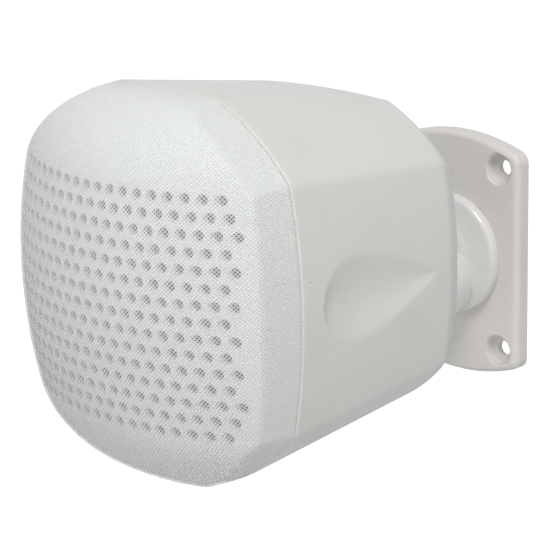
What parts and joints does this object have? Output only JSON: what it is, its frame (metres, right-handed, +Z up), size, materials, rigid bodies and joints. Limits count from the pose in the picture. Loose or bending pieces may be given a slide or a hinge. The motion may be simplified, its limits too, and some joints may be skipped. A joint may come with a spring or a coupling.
{
  "type": "surface-mount ceiling speaker",
  "caption": "White moulded speaker with a cloth covered perforated front, on a wall or ceiling plate with a swivel and tilt knuckle.",
  "frame": {"origin": "centre of the wall plate's back face, on the swivel axis", "axes": "+Z up, +Y into the wall, the speaker faces -Y, +X to the right seen from the front"},
  "size_m": [0.1338, 0.2016, 0.1456],
  "materials": {
    "plate_abs": "satin moulded ABS, warm grey-white",
    "gloss_abs": "glossy moulded ABS, white",
    "cabinet_abs": "satin moulded ABS, off-white, faint smudges",
    "grille_abs": "moulded ABS, white",
    "grille_cloth": "fine white woven polyester",
    "black_abs": "moulded ABS, dark grey",
    "black_rubber": "moulded rubber",
    "foam": "closed-cell foam strip",
    "nylon": "natural nylon",
    "lead_pvc": "PVC insulation",
    "wadding": "polyester wadding",
    "resin_cloth": "resin-dipped cloth",
    "cone_paper": "pressed paper pulp",
    "card": "hard card",
    "brass": "turned brass",
    "copper": "enamelled copper wire",
    "zinc_steel": "zinc-plated steel",
    "spring_steel": "spring steel",
    "black_steel": "pressed steel, black paint",
    "ferrite": "sintered ferrite"
  },
  "bodies": {
    "plate": {"wall_plate": "plate_abs", "swivel_washer": "zinc_steel", "wave_washer": "spring_steel"},
    "knuckle": {"swivel_knuckle": "gloss_abs", "swivel_screw": "zinc_steel", "brass_inserts": "brass", "tilt_screw": "zinc_steel", "friction_washers": "nylon"},
    "speaker": {"tilt_arm": "gloss_abs", "arm_screws": "zinc_steel", "cabinet": "cabinet_abs", "cable_grommet": "black_rubber", "terminal_block": "nylon", "terminal_screws": "brass", "internal_leads": "lead_pvc", "damping_wad": "wadding", "baffle": "black_abs", "baffle_gasket": "foam", "baffle_screws": "zinc_steel", "driver_gasket": "foam", "basket": "black_steel", "driver_screws": "zinc_steel", "top_plate": "zinc_steel", "magnet": "ferrite", "yoke": "zinc_steel", "spider": "resin_cloth", "surround": "black_rubber", "surround_ring": "card", "tag_strip": "card", "grille_shell": "grille_abs", "grille_cloth": "grille_cloth", "grille_sockets": "black_rubber"},
    "cone": {"cone": "cone_paper", "coil_former": "card", "voice_coil": "copper", "dust_cap": "cone_paper"}
  },
  "joints": [
    {"name": "plate_swivel", "type": "hinge", "parent": "plate", "child": "knuckle", "pos_m": [0, -0.007, 0], "axis": [0, 1, 0], "range_deg": [-180, 180]},
    {"name": "arm_tilt", "type": "hinge", "parent": "knuckle", "child": "speaker", "pos_m": [0, -0.0189, -0.0098], "axis": [1, 0, 0], "range_deg": [-45, 60]},
    {"name": "cone_travel", "type": "slide", "parent": "speaker", "child": "cone", "axis": [0, -1, 0], "range_m": [-0.002, 0.002], "stiffness_N_per_m": 1200, "deforming": ["spider", "surround"]}
  ]
}
